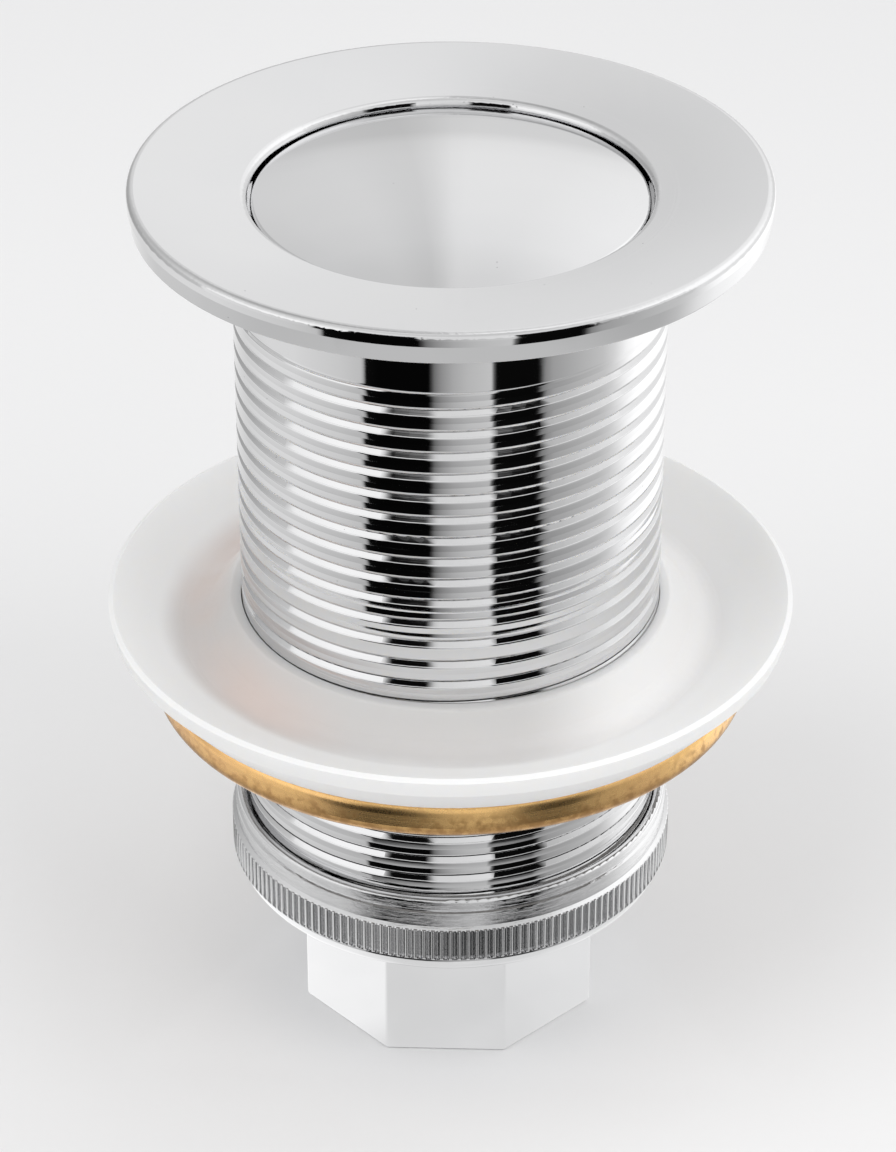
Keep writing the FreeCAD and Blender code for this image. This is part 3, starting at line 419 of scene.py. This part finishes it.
# one Bump node; the height is metres once it is multiplied by the distance
def bump(tree, height, distance, under=None):
    values = {"Height": height, "Distance": distance, "Strength": 1.0}
    if under is not None:
        values["Normal"] = under
    return addNode(tree, "ShaderNodeBump", values).outputs["Normal"]


# rounded crests on the knurl, hazy there, and streaky wear over it
def addKnurl(tree, place, radius, rough, normal, knurl):
    flutes = useGroup(tree, crests, {"Vector": place, "Count": knurl["count"]})
    level = axes(tree, place)[2]
    foot, head, edge = knurl["foot"], knurl["head"], knurl["edge"]
    band = times(tree, spread(tree, level, foot - edge, foot + edge), spread(tree, level, head + edge, head - edge))
    crest = times(tree, times(tree, flutes["Crest"], band), spread(tree, radius, *knurl["radii"]))
    normal = bump(tree, crest, knurl["round"], under=normal)
    worn = times(tree, flutes["Streak"], spread(tree, level, head, head + knurl["wearEdge"]))
    rough = plus(tree, rough, times(tree, worn, knurl["wear"]))
    rough = plus(tree, rough, times(tree, band, knurl["haze"]))
    return rough, bump(tree, times(tree, worn, -1.0), knurl["wearDepth"], under=normal)


def addThread(tree, place, radius, normal, thread):
    outside = spread(tree, radius, *thread["wall"])
    low = spread(tree, axes(tree, place)[2], *thread["runOut"])
    lip = useGroup(tree, grooves, {"Vector": place, "Start": thread["start"], "Pitch": thread["pitch"],
                                   "Groove": thread["groove"], "Lip": thread["lip"], "Crown": thread["crown"],
                                   "Sway": thread["sway"], "Fill": thread["fill"]})["Height"]
    return bump(tree, times(tree, times(tree, lip, outside), low), 1.0, under=normal)


# polished plate: hairline scratches, a faint ripple, a few pits, and rounded lips where a thread runs
def chromeLook(name, look):
    material, tree, shader, place = newLook(name, Metallic=1.0)
    lines = useGroup(tree, scratches, {"Vector": place, "Scale": look["scratchScale"],
                                       "Amount": look["scratches"]})["Mask"]
    spots = useGroup(tree, pits, {"Vector": place, "Scale": look["pitScale"], "Share": look["pits"]})["Mask"]
    haze = noise(tree, place, look["hazeScale"], detail=4.0)
    rough = spread(tree, haze, 0.35, 0.7, look["roughness"] * 0.8, look["roughness"] * 1.25)
    rough = plus(tree, rough, times(tree, lines, look["scratchRoughness"]))
    rough = plus(tree, rough, times(tree, spots, look["pitRoughness"]))
    tone = mixColours(tree, spread(tree, haze, 0.3, 0.75), look["colour"], look["hazeColour"])
    tone = mixColours(tree, times(tree, spots, look["pitShade"]), tone, look["pitColour"])
    waves = useGroup(tree, ripple, {"Vector": place, "Scale": look["rippleScale"]})["Height"]
    normal = bump(tree, waves, look["ripple"])
    marks = useGroup(tree, turning, {"Vector": place, "Spacing": look["markSpacing"]})
    lined = marks["Height"]
    if "flangeRadii" in look:         # the rim and the face of the flange are polished smoother than the tube
        lined = times(tree, lined, spread(tree, marks["Radius"], *look["flangeRadii"], 1.0, look["flangeMarks"]))
    normal = bump(tree, lined, look["marks"], under=normal)
    if "knurl" in look:
        rough, normal = addKnurl(tree, place, marks["Radius"], rough, normal, look["knurl"])
    if "thread" in look:
        normal = addThread(tree, place, marks["Radius"], normal, look["thread"])
    normal = bump(tree, times(tree, lines, -1.0), look["scratchDepth"], under=normal)
    setInputs(tree, shader, {"Roughness": rough, "Base Color": tone, "Normal": normal})
    return material


chrome = {
    "colour": (0.74, 0.74, 0.745),
    "hazeColour": (0.725, 0.727, 0.735),
    "hazeScale": 55.0,
    "roughness": 0.04,
    "scratches": 0.35,
    "scratchScale": 260.0,
    "scratchRoughness": 0.10,
    "scratchDepth": 0.0000012,
    "pits": 0.0015,
    "pitScale": 2600.0,
    "pitRoughness": 0.3,
    "pitShade": 0.8,
    "pitColour": (0.28, 0.28, 0.29),
    "ripple": 0.000006,
    "rippleScale": 60.0,
    "marks": 0.0000006,
    "markSpacing": 0.00035,
}

shank = dict(chrome, marks=0.0000025, markSpacing=0.00022, ripple=0.000012, rippleScale=110.0,
             flangeRadii=(0.0214, 0.0218), flangeMarks=0.15,
             thread={"start": 0.0180955, "pitch": 0.002309, "groove": 0.00033, "lip": 0.00024, "crown": 0.00003,
                     "sway": 0.00003, "fill": 0.00022, "runOut": (0.08215, 0.08155), "wall": (0.0201, 0.0203)})
collarFinish = dict(chrome, roughness=0.07, scratches=0.9, scratchDepth=0.000004, marks=0.000006,
                    markSpacing=0.00025,
                    knurl={"count": 162.0, "foot": 0.01785, "head": 0.02135, "edge": 0.0001,
                           "radii": (0.0222, 0.0224), "round": 0.00009, "wear": 0.16, "wearEdge": 0.0004,
                           "wearDepth": 0.000008, "haze": 0.08})
outletFinish = dict(chrome, roughness=0.1, ripple=0.000012, marks=0.0000004)


# satin brass: smooth on the crown of the rim, with turning marks, and darker mottled brown towards its foot
def brassLook(name, look):
    material, tree, shader, place = newLook(name, Metallic=1.0)
    marks = useGroup(tree, turning, {"Vector": place, "Spacing": look["markSpacing"], "Wobble": look["wobble"]})
    mottle = noise(tree, place, look["mottleScale"], detail=5.0, roughness=0.62)
    cloud = noise(tree, place, look["cloudScale"], detail=2.0)
    height = axes(tree, place)[2]
    crown, crownEdge, foot, footEdge = look["crownFoot"], look["crownEdge"], look["footTop"], look["footEdge"]
    low = spread(tree, height, crown + crownEdge, crown - crownEdge, look["crownMottle"], 1.0)
    patch = times(tree, spread(tree, mottle, 0.45, 0.66), low)
    tone = mixColours(tree, patch, look["colour"], look["dull"])
    tone = mixColours(tree, spread(tree, cloud, 0.4, 0.65, 0.0, 0.5), tone, look["warm"])
    brown = times(tree, spread(tree, height, foot + footEdge, foot - footEdge),
                  spread(tree, mottle, 0.3, 0.6, 0.55, 1.0))
    tone = mixColours(tree, brown, tone, look["footColour"])
    mirrored = addNode(tree, "ShaderNodeLightPath").outputs["Is Glossy Ray"]
    tone = mixColours(tree, mirrored, tone, look["paintedReflectionGrey"])      # painted reflection: mirror rays see the brass as a dull grey, so the chrome shows hardly any brass
    rough = plus(tree, look["roughness"], times(tree, patch, look["dullRoughness"]))
    normal = bump(tree, marks["Height"], look["marks"])
    normal = bump(tree, times(tree, mottle, low), look["mottle"], under=normal)
    setInputs(tree, shader, {"Base Color": tone, "Roughness": rough, "Normal": normal})
    return material


satinBrass = {
    "colour": (0.93, 0.59, 0.24),
    "dull": (0.56, 0.32, 0.12),
    "warm": (0.88, 0.51, 0.24),
    "footColour": (0.45, 0.25, 0.095),
    "paintedReflectionGrey": (0.30, 0.29, 0.28),
    "roughness": 0.27,
    "dullRoughness": 0.1,
    "marks": 0.000006,
    "markSpacing": 0.00016,
    "wobble": 0.6,
    "mottle": 0.000012,
    "mottleScale": 900.0,
    "cloudScale": 60.0,
    "crownFoot": 0.0406,              # height where the smooth crown ends
    "crownEdge": 0.0007,
    "crownMottle": 0.15,
    "footTop": 0.0396,                # height where the brown foot starts
    "footEdge": 0.0006,
}
turnedBrass = dict(satinBrass, colour=(0.83, 0.62, 0.30), dull=(0.66, 0.47, 0.21), warm=(0.85, 0.6, 0.3),
                   footColour=(0.66, 0.47, 0.21), markSpacing=0.00012, mottle=0.000006, crownFoot=1.0)


# grey steels, stamped or drawn
def steelLook(name, look):
    material, tree, shader, place = newLook(name, Metallic=1.0)
    marks = useGroup(tree, turning, {"Vector": place, "Spacing": look["markSpacing"], "Wobble": look["wobble"]})
    lines = useGroup(tree, scratches, {"Vector": place, "Scale": look["scratchScale"],
                                       "Amount": look["scratches"]})["Mask"]
    cloud = noise(tree, place, look["cloudScale"], detail=5.0)
    tone = mixColours(tree, cloud, look["colour"], look["dull"])
    rough = spread(tree, cloud, 0.3, 0.7, look["roughness"], look["roughness"] + look["rougher"])
    normal = bump(tree, marks["Height"], look["marks"])
    normal = bump(tree, times(tree, lines, -1.0), look["scratchDepth"], under=normal)
    setInputs(tree, shader, {"Base Color": tone, "Roughness": rough, "Normal": normal})
    return material


stainless = {
    "colour": (0.62, 0.62, 0.62),
    "dull": (0.52, 0.52, 0.53),
    "cloudScale": 180.0,
    "roughness": 0.25,
    "rougher": 0.12,
    "scratches": 0.8,
    "scratchScale": 400.0,
    "scratchDepth": 0.000002,
    "marks": 0.000008,
    "markSpacing": 0.0002,
    "wobble": 0.8,
}
springWire = dict(stainless, colour=(0.55, 0.56, 0.57), dull=(0.42, 0.43, 0.45), roughness=0.22, marks=0.000003,
                  markSpacing=0.0001)


# milky polyethylene: light sinks in; the seat round the tube gets a painted shade, strongest at the front left, and
# a painted warm glow of the brass under it shows at the left as a dull ring
def milkyLook(name, look):
    material, tree, shader, place = newLook(name, IOR=look["ior"], Subsurface_Weight=look["depthWeight"],
                                            Subsurface_Radius=look["depthColour"], Subsurface_Scale=look["depth"])
    marks = useGroup(tree, turning, {"Vector": place, "Spacing": look["markSpacing"], "Wobble": look["wobble"]})
    cloud = noise(tree, place, look["cloudScale"], detail=3.0)
    ragged = look["ragged"]
    edge = plus(tree, marks["Radius"], spread(tree, cloud, 0.3, 0.7, -ragged, ragged, smooth=False))
    # painted shade over the seat round the tube
    under = spread(tree, edge, *look["seatShadeEdge"])
    # a painted warm glow of the brass under the seat, as if seen through the plastic
    ring = times(tree, under, spread(tree, edge, *look["ringEdge"]))
    x, y = axes(tree, place)[:2]
    ring = times(tree, ring, spread(tree, x, *look["brassGlowSide"], 0.12, 1.0))
    under = times(tree, under, spread(tree, x, *look["seatShadeSide"], 1.0, 0.2))
    under = times(tree, under, spread(tree, y, *look["seatShadeBack"], 1.0, 0.1))
    tone = mixColours(tree, under, look["colour"], look["seatShadeColour"])
    glowAmount = times(tree, ring, spread(tree, cloud, 0.35, 0.6, 0.35, 1.0))
    tone = mixColours(tree, glowAmount, tone, look["brassGlowColour"])
    grain = noise(tree, place, look["grainScale"], detail=3.0)
    rough = spread(tree, grain, 0.3, 0.7, *look["roughness"])
    normal = bump(tree, marks["Height"], look["marks"], under=bump(tree, grain, look["grain"]))
    setInputs(tree, shader, {"Base Color": tone, "Roughness": rough, "Normal": normal})
    return material


milky = {
    "colour": (0.905, 0.905, 0.903),
    "seatShadeColour": (0.62, 0.615, 0.61),
    "brassGlowColour": (0.69, 0.60, 0.56),
    "seatShadeEdge": (0.0294, 0.0256),     # radii between which the painted seat shade starts
    "ringEdge": (0.0210, 0.0250),
    "brassGlowSide": (-0.008, -0.020),     # the painted warm glow of the brass shows at the left
    "seatShadeSide": (0.006, 0.018),       # the painted seat shade fades to the right and to the back
    "seatShadeBack": (-0.002, 0.012),
    "ragged": 0.0006,
    "cloudScale": 45.0,
    "ior": 1.51,
    "depth": 0.0016,
    "depthWeight": 0.55,
    "depthColour": (1.0, 0.95, 0.85),
    "roughness": (0.36, 0.46),
    "grain": 0.000012,
    "grainScale": 1500.0,
    "marks": 0.000004,
    "markSpacing": 0.0004,
    "wobble": 1.5,
}


# moulded black rubber and white acetal
def mouldedLook(name, look):
    material, tree, shader, place = newLook(name, IOR=look["ior"])
    grain = noise(tree, place, look["grainScale"], detail=4.0)
    cloud = noise(tree, place, look["cloudScale"], detail=3.0)
    tone = mixColours(tree, spread(tree, cloud, 0.35, 0.7), look["colour"], look["worn"])
    rough = spread(tree, grain, 0.3, 0.7, look["roughness"], look["roughness"] + look["rougher"])
    setInputs(tree, shader, {"Base Color": tone, "Roughness": rough, "Normal": bump(tree, grain, look["grain"])})
    return material


rubber = {
    "colour": (0.022, 0.022, 0.023),
    "worn": (0.05, 0.05, 0.05),
    "cloudScale": 120.0,
    "roughness": 0.5,
    "rougher": 0.15,
    "grain": 0.00001,
    "grainScale": 2500.0,
    "ior": 1.5,
}
acetal = dict(rubber, colour=(0.88, 0.88, 0.85), worn=(0.82, 0.82, 0.79), roughness=0.3, grain=0.000005,
              grainScale=1800.0, ior=1.48)


finishes = {
    "chrome_plate": chromeLook("polishedShank", shank),
    "chrome_plug": chromeLook("polishedPlug", chrome),
    "chrome_collar": chromeLook("knurledChrome", collarFinish),
    "chrome_outlet": chromeLook("outletChrome", outletFinish),
    "satin_brass": brassLook("satinBrass", satinBrass),
    "turned_brass": brassLook("turnedBrass", turnedBrass),
    "stainless_steel": steelLook("stampedStainless", stainless),
    "spring_steel": steelLook("springWire", springWire),
    "white_polyethylene": milkyLook("milkyPolyethylene", milky),
    "black_rubber": mouldedLook("blackRubber", rubber),
    "acetal": mouldedLook("whiteAcetal", acetal),
}
print("finishes made")


def dressNodes():
    for part in frame["record"]["subparts"]:
        piece = nodes[part["node"]]
        piece.data.materials.clear()
        piece.data.materials.append(finishes[part["material_slot"]])


dressNodes()
print("pieces dressed")
